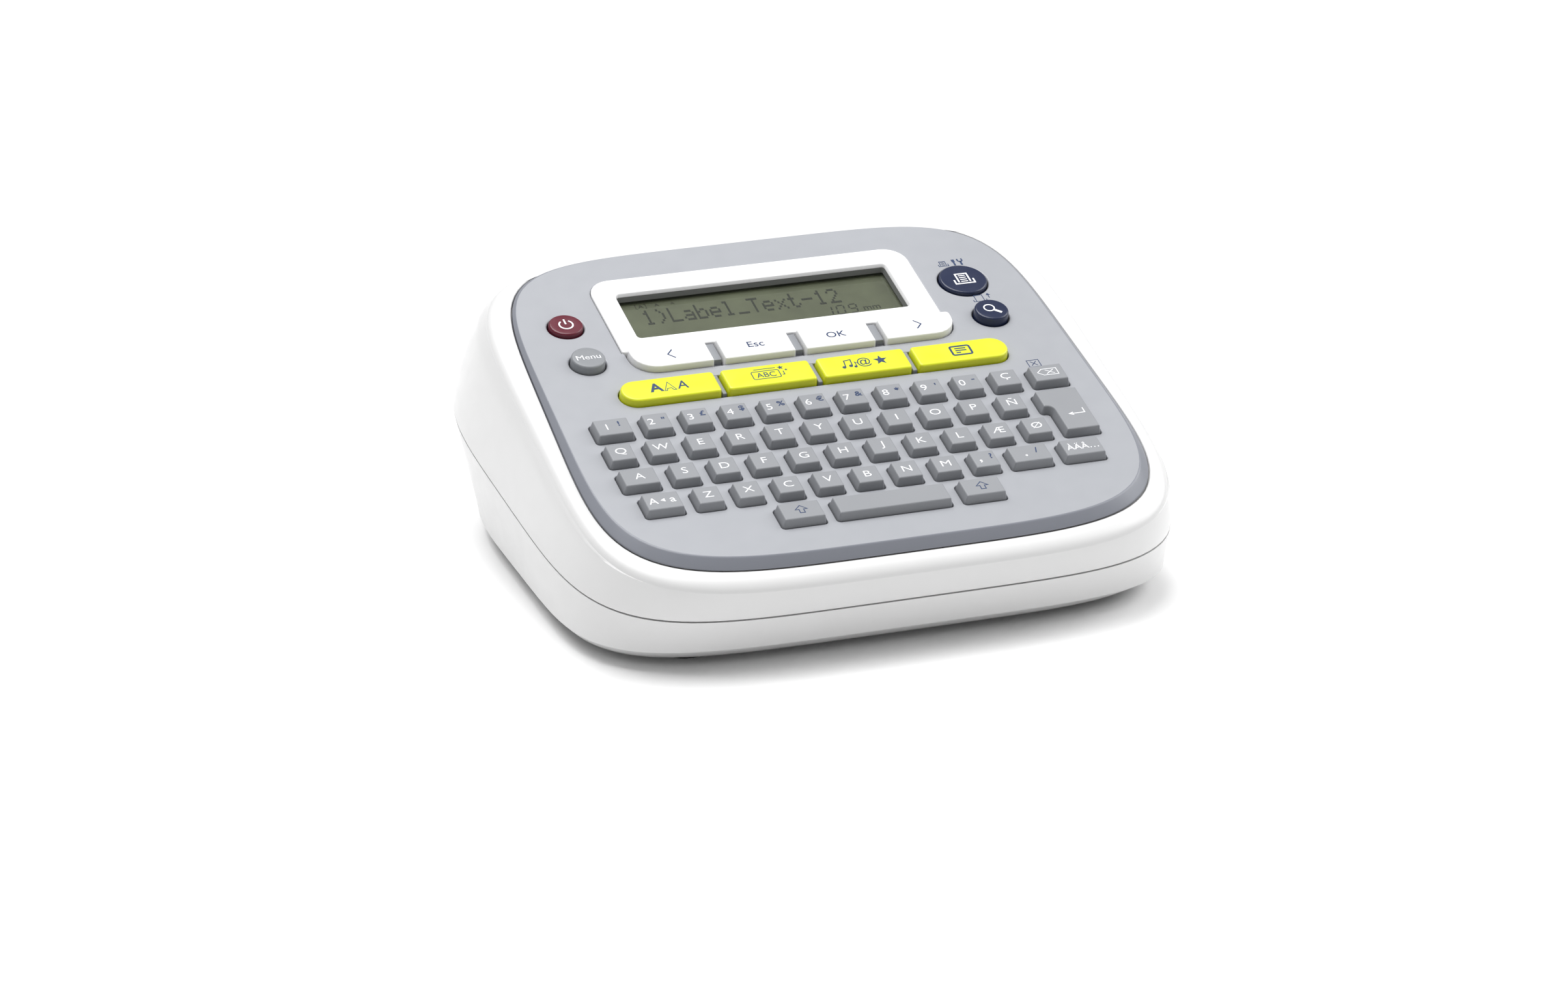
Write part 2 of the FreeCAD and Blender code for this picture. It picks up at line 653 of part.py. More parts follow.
px, py = platen
hx, hy = holder_pivot
holder_left = -68.0
holder_low = 5.0
holder_high = 23.0
roller_low = 6.6
roller_high = 21.0
roller_play = 0.4                # between the roller's ends and the arms of its holder
holder_thick = 1.4
arm_half = 5.0
holder_boss = 3.0
holder = fuse([
    box(holder_left, holder_left + holder_thick, py - arm_half - 1.0, hy - 1.0, holder_low + 1.0, holder_high),
    box(holder_left, px + 2.6, py - arm_half, py + arm_half, holder_low, roller_low - roller_play),
    box(holder_left, px + 2.6, py - arm_half, py + arm_half, roller_high + roller_play, holder_high),
    box(holder_left, hx, hy - arm_half, hy - 1.0, roller_low - roller_play, holder_high),
    rod(hx, hy, roller_low - roller_play, holder_high, holder_boss),
])
holder = cut_all(holder, [rod(hx, hy, 0, bay_top, spindle + running), rod(px, py, 0, bay_top, spindle + running)])
save("roller_holder", holder)
gear_low = 27.2
gear_mid = 30.4
gear_high = 33.6
save("platen_roller", fuse([rod(px, py, holder_low + 0.2, gear_high + 0.4, spindle),
                            rod(px, py, roller_low, roller_high, platen_radius)]))

motor_low = 5.0
save("motor", fuse([rod(*motor, motor_low, bay_top - 0.1, motor_radius), rod(*motor, 4.3, motor_low + 0.2, 3.0)]))
pinion = gear(motor, pinion_teeth, gear_low, gear_mid - 0.2, angle_to(motor, first_gear), 0)
save("motor_pinion", fuse([pinion, rod(*motor, bay_top + 0.1, gear_low + 0.1, 1.4)]))
bore = spindle + running
save("gear_first", fuse([
    gear(first_gear, first_teeth, gear_low, gear_mid - 0.2, mesh_phase(first_gear, first_teeth, motor), bore),
    gear(first_gear, first_small_teeth, gear_mid - 0.2, gear_high, angle_to(first_gear, second_gear), bore),
]))
second = gear(second_gear, second_teeth, gear_mid, gear_high, mesh_phase(second_gear, second_teeth, first_gear), 0)
save("gear_second", fuse([second, rod(*second_gear, roll_low, gear_mid + 0.1, 1.9)]))
second_step = 2 * math.pi / second_teeth
offset_teeth = (angle_to(second_gear, platen) - mesh_phase(second_gear, second_teeth, first_gear)) / second_step
tooth_lead = (offset_teeth - math.floor(offset_teeth)) * second_step
platen_phase = (angle_to(platen, second_gear) + math.pi / platen_teeth
                + tooth_lead * second_teeth / platen_teeth)
save("platen_gear", gear(platen, platen_teeth, gear_mid, gear_high, platen_phase, spindle))

# ---------------------------------------------------------------- cutter
kx, ky = cutter_pivot
lever_low = 6.6
lever_high = 21.4
lever_end = -30.0
arm_rear = 63.2
blade_front = 51.6
blade_rear = 52.5
blade_low = 7.0
blade_high = 21.0
blade_back = tape_x + 1.0
pad = prism(-42.4, lever_end, arm_rear - 0.6, 72.6, lever_low + 2, lever_high, [1.0, 1.0, 2.0, 2.0])
arm = box(kx, lever_end, 60.4, arm_rear, 10.0, 20.0)
web = box(kx - 3.0, kx + 1.4, blade_rear, ky, lever_low, lever_high)
lever = fuse([rod(kx, ky, lever_low, lever_high, 3.2), arm, pad, web]).cut(rod(kx, ky, 0, 30, spindle + running))
save("cutter_lever", lever)
blade = box(blade_back, kx + 1.0, blade_front, blade_rear, blade_low, blade_high)
edge_points = [V(blade_back, blade_front, blade_low), V(tape_x + 0.3, 52.1, blade_low),
               V(blade_back, blade_rear, blade_low), V(blade_back, blade_front, blade_low)]
edge = Part.Face(Part.makePolygon(edge_points)).extrude(V(0, 0, blade_high - blade_low))
save("cutter_blade", fuse([blade, edge]))

# folded leaf spring between the bay wall and the lever's arm
spring_x = -36.5
spring_front = bay_rear + bay_wall + 0.3
spring_length = 16.2
spring_half = 2.0
spring_low = 12.5
spring_high = 17.5
spring_folds = 9
leaf = 0.4
fold = (spring_length - leaf) / spring_folds
leaves = []
for i in range(spring_folds + 1):
    y = spring_front + fold * i
    leaves.append(box(spring_x - spring_half, spring_x + spring_half, y, y + leaf, spring_low, spring_high))
for i in range(spring_folds):
    y = spring_front + fold * i
    end_x = spring_x + spring_half - leaf if i % 2 else spring_x - spring_half
    leaves.append(box(end_x, end_x + leaf, y, y + fold, spring_low, spring_high))
save("cutter_spring", fuse(leaves))

# ---------------------------------------------------------------- boards and jack
bay_roof = battery_top + bay_wall
board_seat = bay_roof + 3.0
board_thickness = 1.6
main_board = box(6.0, 64.0, -6.0, 40.0, board_seat, board_seat + board_thickness)
board_top = board_seat + board_thickness - 0.1
capacitor_radius = 4.0
capacitor_height = 9.0
chips = [box(14, 26, 4, 16, board_top, board_top + 1.8), box(36, 44, 20, 32, board_top, board_top + 1.8),
         rod(54, 0, board_top, board_top + capacitor_height, capacitor_radius),
         rod(54, 10, board_top, board_top + capacitor_height, capacitor_radius),
         box(30, 50, 34, 38, board_top, board_top + 5)]
board_feet = [rod(x, y, bay_roof, board_seat + 0.1, 1.8)
              for x in (9.0, 61.0) for y in (-3.0, 37.0)]
save("main_board", fuse([main_board] + chips + board_feet))

jack_body = box(jack_x - jack_half, jack_x + jack_half, 48.0, 60.0, jack_z - jack_half, jack_z + jack_half)
nose = Part.makeCylinder(jack_nose_radius, 7.0, V(jack_x, 59.9, jack_z), V(0, 1, 0))
socket = Part.makeCylinder(jack_socket_radius, 12, V(jack_x, 56.0, jack_z), V(0, 1, 0))
centre_pin = Part.makeCylinder(jack_pin_radius, 9.6, V(jack_x, 55.5, jack_z), V(0, 1, 0))
save("dc_jack", fuse([fuse([jack_body, nose]).cut(socket), centre_pin]))

# ribbon cable from the display module down to the main board
cable_left = 27.5
cable_right = 34.5
deck_point = deck.multVec(V(0, window_front + 2, lcd_board_foot))
cable_half = 0.15
cable = box(cable_left, cable_right, deck_point.y - cable_half, deck_point.y + cable_half,
            board_top + 0.15, deck_point.z - 0.1)
save("display_cable", cable)
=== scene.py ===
import bpy
import bmesh
import math
from mathutils import Matrix, Vector


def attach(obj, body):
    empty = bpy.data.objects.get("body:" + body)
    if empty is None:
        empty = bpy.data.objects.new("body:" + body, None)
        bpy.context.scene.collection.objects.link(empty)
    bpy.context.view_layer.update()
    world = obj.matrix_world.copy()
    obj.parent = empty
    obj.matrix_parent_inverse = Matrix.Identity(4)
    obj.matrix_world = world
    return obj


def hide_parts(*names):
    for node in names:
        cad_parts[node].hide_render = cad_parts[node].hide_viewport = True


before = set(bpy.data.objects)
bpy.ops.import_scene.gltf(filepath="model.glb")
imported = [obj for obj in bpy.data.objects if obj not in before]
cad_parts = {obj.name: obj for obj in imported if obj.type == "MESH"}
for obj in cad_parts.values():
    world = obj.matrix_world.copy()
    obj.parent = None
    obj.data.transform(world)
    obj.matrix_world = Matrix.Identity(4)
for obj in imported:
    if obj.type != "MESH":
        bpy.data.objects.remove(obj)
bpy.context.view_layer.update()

# ---------------------------------------------------------------- dimensions (millimetres)
MM = 0.001
TILT = math.radians(17.62)
DECK_Y, DECK_Z = -22.9, 44.3
DECK = Matrix.Translation((0, DECK_Y * MM, DECK_Z * MM)) @ Matrix.Rotation(TILT, 4, "X")
WALL = 2.2
PANEL_THICK = 2.4
PITCH = 10.35
HOLE_H = 7.9
LETTER_WIDTH = 7.9
NUMBER_WIDTH = 8.1
WIDE = 10.4
GAP = 0.3
KEY_FOOT = -3.4
KEY_TOP = 2.2
WHITE_TOP = 1.7
LIME_TOP = 1.94
INK = 0.03                                 # how far printed marks stand above a surface
SINK = 0.05                                # how far marks reach down into a dished button
LETTER_LIFT = 0.01                         # height of a printed letter's middle above a key top
RING_POINTS = 192
CORNER_STEPS = 6

RIM = dict(half=77.06, front=-77.6, rear=53.1, nf=4.61, nr=5.13, taper=0.0001, z=50.24, slope=0.3343)
SEAM = dict(half=82.25, front=-74.35, rear=77.65, nf=4.94, nr=3.5, taper=-0.0003, z=26.53, slope=0.166)
PANEL = dict(half=71.64, front=-53.0, rear=77.65, nf=4.51, nr=5.41, taper=0.0007, z=0.0, slope=0.0)

SURROUND = (-45.5, 41.2, 35.4, 66.4)
WINDOW = (-39.2, 34.2, 41.0, 59.5)
WHITE_V = (26.2, 35.1)
WHITE = {"button_left": (-44.6, -24.0, (6.5, 0.6, 0.6, 1.2)), "button_escape": (-21.2, -2.1, (0.6,) * 4),
         "button_ok": (0.7, 19.6, (0.6,) * 4), "button_right": (22.6, 42.6, (0.6, 6.5, 1.2, 0.6))}
LIME_V = (13.2, 21.8)
LIME = {"button_style": (-52.0, -26.4, (4.2, 0.8, 0.8, 4.2)), "button_frame": (-24.7, -0.9, (0.8,) * 4),
        "button_symbol": (0.9, 24.7, (0.8,) * 4), "button_template": (26.5, 52.0, (0.8, 4.2, 4.2, 0.8))}
ROUND = {"button_power": (-56.1, 49.1, 4.77, 1.0), "button_menu": (-55.4, 33.1, 4.75, 2.1),
         "button_print": (52.3, 49.0, 6.69, 0.75), "button_preview": (53.8, 33.0, 4.85, 2.1)}


# ---------------------------------------------------------------- materials
def principled(name):
    material = bpy.data.materials.new(name)
    material.use_nodes = True
    return material, material.node_tree, material.node_tree.nodes["Principled BSDF"]


def noise(tree, scale, detail=3.0):
    where = tree.nodes.new("ShaderNodeTexCoord")
    texture = tree.nodes.new("ShaderNodeTexNoise")
    texture.inputs["Scale"].default_value = scale
    texture.inputs["Detail"].default_value = detail
    tree.links.new(where.outputs["Object"], texture.inputs["Vector"])
    return texture.outputs["Fac"]


def spread(tree, value, low, high):
    node = tree.nodes.new("ShaderNodeMapRange")
    node.inputs["From Min"].default_value = 0.3
    node.inputs["From Max"].default_value = 0.7
    node.inputs["To Min"].default_value = low
    node.inputs["To Max"].default_value = high
    tree.links.new(value, node.inputs["Value"])
    return node.outputs["Result"]


def blend_colors(tree, value, low, high):
    ramp = tree.nodes.new("ShaderNodeValToRGB")
    ramp.color_ramp.elements[0].position = 0.3
    ramp.color_ramp.elements[0].color = (*low, 1)
    ramp.color_ramp.elements[1].position = 0.7
    ramp.color_ramp.elements[1].color = (*high, 1)
    tree.links.new(value, ramp.inputs["Fac"])
    return ramp.outputs["Color"]


def moulded(name, color, rough, change, bump, grain=2600, broad=22, metal=0.0, coat=0.0, subsurface=0.0):
    """Plastic, rubber, ink or metal with a faint drift of tone and gloss and a fine surface grain."""
    material, tree, shader = principled(name)
    low = [c * (1 - change) for c in color]
    high = [min(1.0, c * (1 + change)) for c in color]
    tree.links.new(blend_colors(tree, noise(tree, broad), low, high), shader.inputs["Base Color"])
    tree.links.new(spread(tree, noise(tree, broad * 9), rough - 0.04, rough + 0.05), shader.inputs["Roughness"])
    shader.inputs["Metallic"].default_value = metal
    shader.inputs["Coat Weight"].default_value = coat
    shader.inputs["Subsurface Weight"].default_value = subsurface
    shader.inputs["Subsurface Scale"].default_value = 0.002
    relief = tree.nodes.new("ShaderNodeBump")
    relief.inputs["Strength"].default_value = bump
    relief.inputs["Distance"].default_value = 0.00006
    tree.links.new(noise(tree, grain, 2.0), relief.inputs["Height"])
    tree.links.new(relief.outputs["Normal"], shader.inputs["Normal"])
    return material


def clear_sheet(name):
    """A thin clear window: mostly see-through, with a little sharp reflection."""
    material, tree, shader = principled(name)
    see = tree.nodes.new("ShaderNodeBsdfTransparent")
    shine = tree.nodes.new("ShaderNodeBsdfGlossy")
    mix = tree.nodes.new("ShaderNodeMixShader")
    see.inputs["Color"].default_value = (0.94, 0.95, 0.93, 1)
    mix.inputs["Fac"].default_value = 0.05
    tree.links.new(spread(tree, noise(tree, 60), 0.02, 0.06), shine.inputs["Roughness"])
    tree.links.new(see.outputs[0], mix.inputs[1])
    tree.links.new(shine.outputs[0], mix.inputs[2])
    tree.links.new(mix.outputs[0], tree.nodes["Material Output"].inputs["Surface"])
    return material


SHELL = moulded("shell_white", (0.66, 0.66, 0.66), 0.34, 0.008, 0.03)
TRIM = moulded("trim_white", (0.80, 0.80, 0.805), 0.28, 0.008, 0.02)
GREY = moulded("panel_grey", (0.335, 0.345, 0.37), 0.36, 0.02, 0.05)
# darker blue-grey for the panel's sloping edge: painted shade, standing in for the shade the forward-facing
# bevel gets from lamps above and behind
EDGE_PAINTED_SHADE = moulded("panel_edge_painted_shade", (0.20, 0.21, 0.24), 0.36, 0.02, 0.05)
BAR = moulded("divider_grey", (0.24, 0.25, 0.27), 0.42, 0.03, 0.05)
KEY = moulded("key_rubber", (0.245, 0.253, 0.27), 0.5, 0.04, 0.12, 3200)
WHITE_KEY = moulded("key_white", (0.78, 0.78, 0.785), 0.32, 0.01, 0.03)
LIME_KEY = moulded("key_lime", (0.64, 0.69, 0.016), 0.36, 0.025, 0.04, subsurface=0.1)
NAVY = moulded("key_navy", (0.006, 0.013, 0.048), 0.3, 0.06, 0.05)
BURGUNDY = moulded("key_burgundy", (0.105, 0.003, 0.016), 0.32, 0.06, 0.05)
MENU_GREY = moulded("key_menu", (0.22, 0.23, 0.245), 0.42, 0.04, 0.08)
INK_WHITE = moulded("ink_white", (0.80, 0.81, 0.83), 0.5, 0.02, 0.04)
INK_NAVY = moulded("ink_navy", (0.014, 0.036, 0.105), 0.45, 0.08, 0.04)
RECESS = moulded("recess_grey", (0.16, 0.165, 0.16), 0.45, 0.04, 0.05)
LCD = moulded("lcd_field", (0.108, 0.118, 0.074), 0.4, 0.16, 0.02, broad=95)
SEGMENT = moulded("lcd_segment", (0.012, 0.014, 0.010), 0.45, 0.12, 0.02)
CLEAR = clear_sheet("window_clear")
DARK = moulded("moulding_dark", (0.035, 0.036, 0.04), 0.42, 0.08, 0.10)
FEET = moulded("feet_rubber", (0.05, 0.05, 0.052), 0.7, 0.10, 0.25)
STEEL = moulded("steel", (0.56, 0.57, 0.58), 0.32, 0.04, 0.06, metal=1.0)
BOARD = moulded("circuit_board", (0.012, 0.11, 0.035), 0.35, 0.12, 0.08)
CELL = moulded("cell_sleeve", (0.045, 0.045, 0.05), 0.28, 0.10, 0.03, coat=0.4)
TAPE = moulded("tape_paper", (0.82, 0.82, 0.80), 0.5, 0.03, 0.06)
CASSETTE = moulded("cassette_shell", (0.62, 0.62, 0.60), 0.4, 0.03, 0.08)
GEARS = moulded("gear_nylon", (0.74, 0.72, 0.64), 0.45, 0.03, 0.06)
HEAD = moulded("head_ceramic", (0.58, 0.54, 0.46), 0.25, 0.05, 0.04)
FLEX = moulded("flex_amber", (0.36, 0.16, 0.03), 0.35, 0.10, 0.04)
MEMBRANE = moulded("membrane_rubber", (0.30, 0.31, 0.33), 0.62, 0.05, 0.12)

NODE_MATERIALS = {
    "lower_housing": SHELL, "battery_cover": SHELL, "display_cable": FLEX, "key_membrane": MEMBRANE,
    "keyboard_board": BOARD, "main_board": BOARD, "batteries": CELL, "battery_contacts": STEEL,
    "cassette_case": CASSETTE, "tape_spool": TAPE, "label_tape": TAPE, "ribbon_supply_spool": DARK,
    "ribbon_takeup_spool": DARK, "mechanism_plate": STEEL, "print_head": HEAD, "roller_holder": DARK,
    "platen_roller": FEET, "motor": STEEL, "motor_pinion": GEARS, "gear_first": GEARS, "gear_second": GEARS,
    "platen_gear": GEARS, "cutter_lever": DARK, "cutter_blade": STEEL, "cutter_spring": STEEL, "dc_jack": DARK,
    "case_screws": STEEL, "rubber_feet": FEET, "lcd_module": RECESS,
}


# ---------------------------------------------------------------- mesh building
class Piece:
    """Vertices and faces in millimetres, gathered before they become one object."""

    def __init__(self):
        self.verts = []
        self.faces = []
        self.paint = []                    # material index of each face, where it isn't 0

    def loft(self, rings, caps=True, closed=False):
        base = len(self.verts)
        count = len(rings[0])
        for ring in rings:
            self.verts.extend(ring)
        levels = len(rings) if closed else len(rings) - 1
        for level in range(levels):
            low = base + level * count
            high = base + (level + 1) % len(rings) * count
            for i in range(count):
                j = (i + 1) % count
                self.faces.append((low + i, low + j, high + j, high + i))
        if caps and not closed:
            self.faces.append(tuple(base + count - 1 - i for i in range(count)))
            self.faces.append(tuple(base + (len(rings) - 1) * count + i for i in range(count)))

    def plate(self, points, low, high):
        self.loft([[(x, y, low) for x, y in points], [(x, y, high) for x, y in points]])

    def ribbon(self, points, width, low, high, closed=False):
        left, right = [], []
        last = len(points) - 1
        for i, (x, y) in enumerate(points):
            before = points[i - 1] if i > 0 or closed else points[i]
            after = points[(i + 1) % len(points)] if i < last or closed else points[i]
            legs = ((before, (x, y)), ((x, y), after))
            ways = [Vector((b[0] - a[0], b[1] - a[1])).normalized() for a, b in legs
                    if (a[0], a[1]) != (b[0], b[1])]
            along = sum(ways, Vector((0, 0))).normalized()
            stretch = min(2.0, 1 / max(0.35, along.dot(ways[0])))
            side = Vector((-along.y, along.x)) * width / 2 * stretch
            left.append((x + side.x, y + side.y))
            right.append((x - side.x, y - side.y))
        rings = [[(*a, low), (*b, low), (*b, high), (*a, high)] for a, b in zip(left, right)]
        self.loft(rings, closed=closed)

    def merge(self, mesh, place):
        base = len(self.verts)
        self.verts.extend(tuple(place @ v.co) for v in mesh.vertices)
        self.faces.extend(tuple(base + i for i in p.vertices) for p in mesh.polygons)

    def build(self, name, material, body, place=DECK, smooth=True, replaces=None):
        mesh = bpy.data.meshes.new(name)
        mesh.from_pydata(self.verts, [], self.faces)
        mesh.transform(place @ Matrix.Scale(MM, 4))
        for face, index in zip(mesh.polygons, self.paint):
            face.material_index = index
        work = bmesh.new()
        work.from_mesh(mesh)
        bmesh.ops.remove_doubles(work, verts=work.verts, dist=2e-7)
        bmesh.ops.recalc_face_normals(work, faces=work.faces)
        work.to_mesh(mesh)
        work.free()
        for face in mesh.polygons:
            face.use_smooth = smooth
        obj = bpy.data.objects.new(name, mesh)
        bpy.context.scene.collection.objects.link(obj)
        mesh.materials.append(material)
        if smooth:
            mesh.set_sharp_from_angle(angle=math.radians(40))
            even = obj.modifiers.new("even", "WEIGHTED_NORMAL")
            even.keep_sharp = True
        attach(obj, body)
        if replaces:
            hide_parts(replaces)
        return obj


def ring(spec, inset=0.0, lift=0.0):
    half = spec["half"] - inset
    depth = (spec["rear"] - spec["front"]) / 2 - inset
    middle = (spec["rear"] + spec["front"]) / 2
    points = []
    for i in range(RING_POINTS):
        angle = 2 * math.pi * i / RING_POINTS
        c, s = math.cos(angle), math.sin(angle)
        power = spec["nf"] if s < 0 else spec["nr"]
        reach = (abs(c) ** power + abs(s) ** power) ** (-1 / power)
        y = depth * s * reach
        x = half * c * reach * (1 - spec["taper"] * y)
        points.append((x, y + middle, spec["z"] + spec["slope"] * (y + middle) + lift))
    return points


def between(low, high, share):
    return {key: low[key] + share * (high[key] - low[key]) for key in low}


def outline(corners, radii, inset=0.0):
    """Counter-clockwise corners, each rounded; inset moves every side inwards."""
    count = len(corners)
    points = []
    for i, (x, y) in enumerate(corners):
        back = Vector(corners[i]) - Vector(corners[i - 1])
        ahead = Vector(corners[(i + 1) % count]) - Vector(corners[i])
        back.normalize()
        ahead.normalize()
        n1, n2 = Vector((-back.y, back.x)), Vector((-ahead.y, ahead.x))
        corner = Vector((x, y)) + (n1 + n2) * inset / (1 + n1.dot(n2))
        turn = math.atan2(back.x * ahead.y - back.y * ahead.x, back.dot(ahead))
        convex = turn > 0
        radius = max(radii[i] - inset, 0.12) if convex else radii[i] + inset
        reach = radius * math.tan(abs(turn) / 2)
        inward = 1 if convex else -1
        centre = corner - back * reach + n1 * radius * inward
        start = -n1 * radius * inward
        for step in range(CORNER_STEPS + 1):
            a = turn * step / CORNER_STEPS
            points.append((centre.x + start.x * math.cos(a) - start.y * math.sin(a),
                           centre.y + start.x * math.sin(a) + start.y * math.cos(a)))
    return points


def rect(x0, x1, y0, y1):
    return [(x0, y0), (x1, y0), (x1, y1), (x0, y1)]


def circle(x, y, radius, count=48, start=0.0, sweep=2 * math.pi):
    closed = abs(sweep - 2 * math.pi) < 1e-9
    total = count if closed else count - 1
    return [(x + radius * math.cos(start + sweep * i / total), y + radius * math.sin(start + sweep * i / total))
            for i in range(count)]


def level(points, z):
    return [(x, y, z) for x, y in points]


def crown(top, radius, draft, base=-0.2, segments=5):
    """(height, inset) levels of a moulded key: straight foot, drafted side, rounded top edge."""
    levels = [(KEY_FOOT, 0.0), (base, 0.0), (top - radius, draft)]
    for i in range(1, segments + 1):
        a = math.pi / 2 * i / segments
        levels.append((top - radius + radius * math.sin(a), draft + radius * (1 - math.cos(a))))
    return levels


# ---------------------------------------------------------------- keyboard layout
def hole(right, width, row):
    return rect(right - width, right, -PITCH * row, -PITCH * row + HOLE_H)


STARTS = (-53.31, -55.9, -53.31, -50.73)      # right edge of the first key hole in rows 0 to 3


def letters(row, first, last, width):
    return [hole(STARTS[row] + PITCH * i, width, row) for i in range(first, last)]


ENTER = [(52.7, -20.7), (63.0, -20.7), (63.0, -2.45), (50.4, -2.45), (50.4, -10.35), (52.7, -10.35)]
KEYS = {
    "keys_number_left": [hole(STARTS[0], WIDE, 0)] + letters(0, 1, 6, NUMBER_WIDTH),
    "keys_number_right": letters(0, 6, 11, NUMBER_WIDTH),
    "keys_upper_left": letters(1, 0, 6, LETTER_WIDTH),
    "keys_upper_right": letters(1, 6, 11, LETTER_WIDTH),
    "keys_home_left": [hole(STARTS[2], WIDE, 2)] + letters(2, 1, 6, LETTER_WIDTH),
    "keys_home_right": letters(2, 6, 11, LETTER_WIDTH),
    "keys_lower_left": letters(3, 1, 5, LETTER_WIDTH),
    "keys_lower_right": letters(3, 5, 9, LETTER_WIDTH) + [hole(46.1, 11.7, 3)],
    "key_case": [hole(STARTS[3], 10.6, 3)],
    "key_backspace": [hole(62.95, 10.3, 0)],
    "key_accent": [hole(60.3, 11.9, 3)],
    "key_shift_left": [hole(-18.0, 12.0, 4)],
    "key_space": [hole(14.9, 30.6, 4)],
    "key_shift_right": [hole(29.3, 11.8, 4)],
    "key_enter": [ENTER],
}
LEGENDS = {
    "keys_number_left": ["1!", '2"', "3£", "4$", "5%", "6€"],
    "keys_number_right": ["7&", "8*", "9'", "0-", "Ç"],
    "keys_upper_left": list("QWERTY"),
    "keys_upper_right": list("UIOPÑ"),
    "keys_home_left": list("ASDFGH"),
    "keys_home_right": list("JKLÆØ"),
    "keys_lower_left": list("ZXCV"),
    "keys_lower_right": ["B", "N", "M", ",?", "./"],
}


# ---------------------------------------------------------------- housings
def rim_height(v):
    """Height of the rim's plane above the panel face, at distance v up the panel."""
    across, up = math.cos(TILT), math.sin(TILT)
    plane = RIM["z"] + RIM["slope"] * (DECK_Y + v * across)
    return (plane - DECK_Z - v * up) / (across + RIM["slope"] * up)


def on_deck(points):
    across, up = math.cos(TILT), math.sin(TILT)
    return [(x, DECK_Y + v * across - w * up, DECK_Z + v * up + w * across) for x, v, w in points]


SEAT_FLOOR = -2.55
SIDE_LEVELS = 8
SIDE_REACH = 0.93                          # share of the way from seam to rim where the crest begins
SIDE_HOLLOW = -1.4                         # bends the side's levels away from a straight loft
CREST = 3.0                                # width of the rounded top edge
CREST_FALL = -2.25
seat_edge = ring(PANEL, -0.28)
seat_inner = ring(PANEL, 5.0)
upper = [ring(SEAM, WALL, 0.15), ring(SEAM, 0.3, 0.15), ring(SEAM, 0.09, 0.24), ring(SEAM, 0.0, 0.45)]
for i in range(1, SIDE_LEVELS):
    share = i / SIDE_LEVELS
    upper.append(ring(between(SEAM, RIM, share * SIDE_REACH), SIDE_HOLLOW * share * (1 - share)))
for i in range(SIDE_LEVELS + 1):
    a = math.pi / 2 * i / SIDE_LEVELS
    upper.append(ring(RIM, CREST * (1 - math.cos(a)), CREST_FALL * (1 - math.sin(a))))
upper.append(on_deck([(x * 1.004, v, rim_height(v) + 0.02) for x, v, w in ring(PANEL, -0.75)]))
upper.append(on_deck([(x, v, rim_height(v) - 0.06) for x, v, w in ring(PANEL, -0.45)]))
upper.append(on_deck([(x, v, rim_height(v) - 0.3) for x, v, w in seat_edge]))
for edge in (seat_edge, seat_inner):
    upper.append(on_deck([(x, v, min(SEAT_FLOOR, rim_height(v) - 1.0)) for x, v, w in edge]))
upper.append(on_deck([(x, v, -4.8) for x, v, w in seat_inner]))
upper.append(ring(RIM, WALL + 1.2, -5.5))
shell = Piece()
shell.loft(upper, closed=True)
shell.build("upper_shell", SHELL, "body", Matrix.Identity(4), replaces="upper_housing")

# ---------------------------------------------------------------- keypad panel
openings = []                              # (corner list, corner radii, lip radius)
for name, shapes in KEYS.items():
    for shape in shapes:
        openings.append((shape, (1.0,) * len(shape), 0.3))
x0, x1, y0, y1 = SURROUND
display_corners = [(-44.9, 25.9), (42.9, 25.9), (42.9, 35.6), (x1 + 0.1, 35.6), (x1 + 0.1, y1 + 0.1),
                   (x0 - 0.1, y1 + 0.1), (x0 - 0.1, 35.6), (-44.9, 35.6)]
openings.append((display_corners, (6.8, 6.8, 1.0, 0.3, 6.1, 6.1, 0.2, 0.2), 0.3))
openings.append((rect(-52.3, 52.3, LIME_V[0] - GAP, LIME_V[1] + GAP), (4.5,) * 4, 0.3))


def filled(loops, z):
    """One flat face between an outer loop and the holes in it."""
    work = bmesh.new()
    for loop in loops:
        made = [work.verts.new((x, y, z)) for x, y in loop]
        for a, b in zip(made, made[1:] + made[:1]):
            work.edges.new((a, b))
    bmesh.ops.triangle_fill(work, edges=work.edges[:], use_beauty=True, use_dissolve=False)
    mesh = bpy.data.meshes.new("filled")
    work.to_mesh(mesh)
    work.free()
    return mesh


panel = Piece()
EDGE_WIDTH = 2.6
outer_edge, inner_edge = ring(PANEL), ring(PANEL, EDGE_WIDTH)
edge_rings = [[(x, y, -PANEL_THICK) for x, y, z in outer_edge]]
EDGE_PROFILE = ((0.0, 1.08), (0.03, 1.0), (0.08, 0.94), (0.45, 0.5), (0.78, 0.14), (0.84, 0.08), (0.91, 0.03),
                (1.0, 0.0))                # shares of the sloping edge's width and depth
for inward, down in EDGE_PROFILE:
    points = []
    for a, b in zip(outer_edge, inner_edge):
        depth = max(0.5, -rim_height(a[1]) - 0.12)
        share = inward * (0.25 + depth * 0.95) / EDGE_WIDTH
        points.append((a[0] + (b[0] - a[0]) * share, a[1] + (b[1] - a[1]) * share, -min(depth * down, 2.35)))
    edge_rings.append(points)
panel.loft(edge_rings, caps=False)
# the sloping edge's faces take material index 1, the darker grey that paints the bevel's shade
panel.paint = [1] * len(panel.faces)
top_loops = [[(x, y) for x, y, z in edge_rings[-1]]]
base_loops = [[(x, y) for x, y, z in edge_rings[0]]]


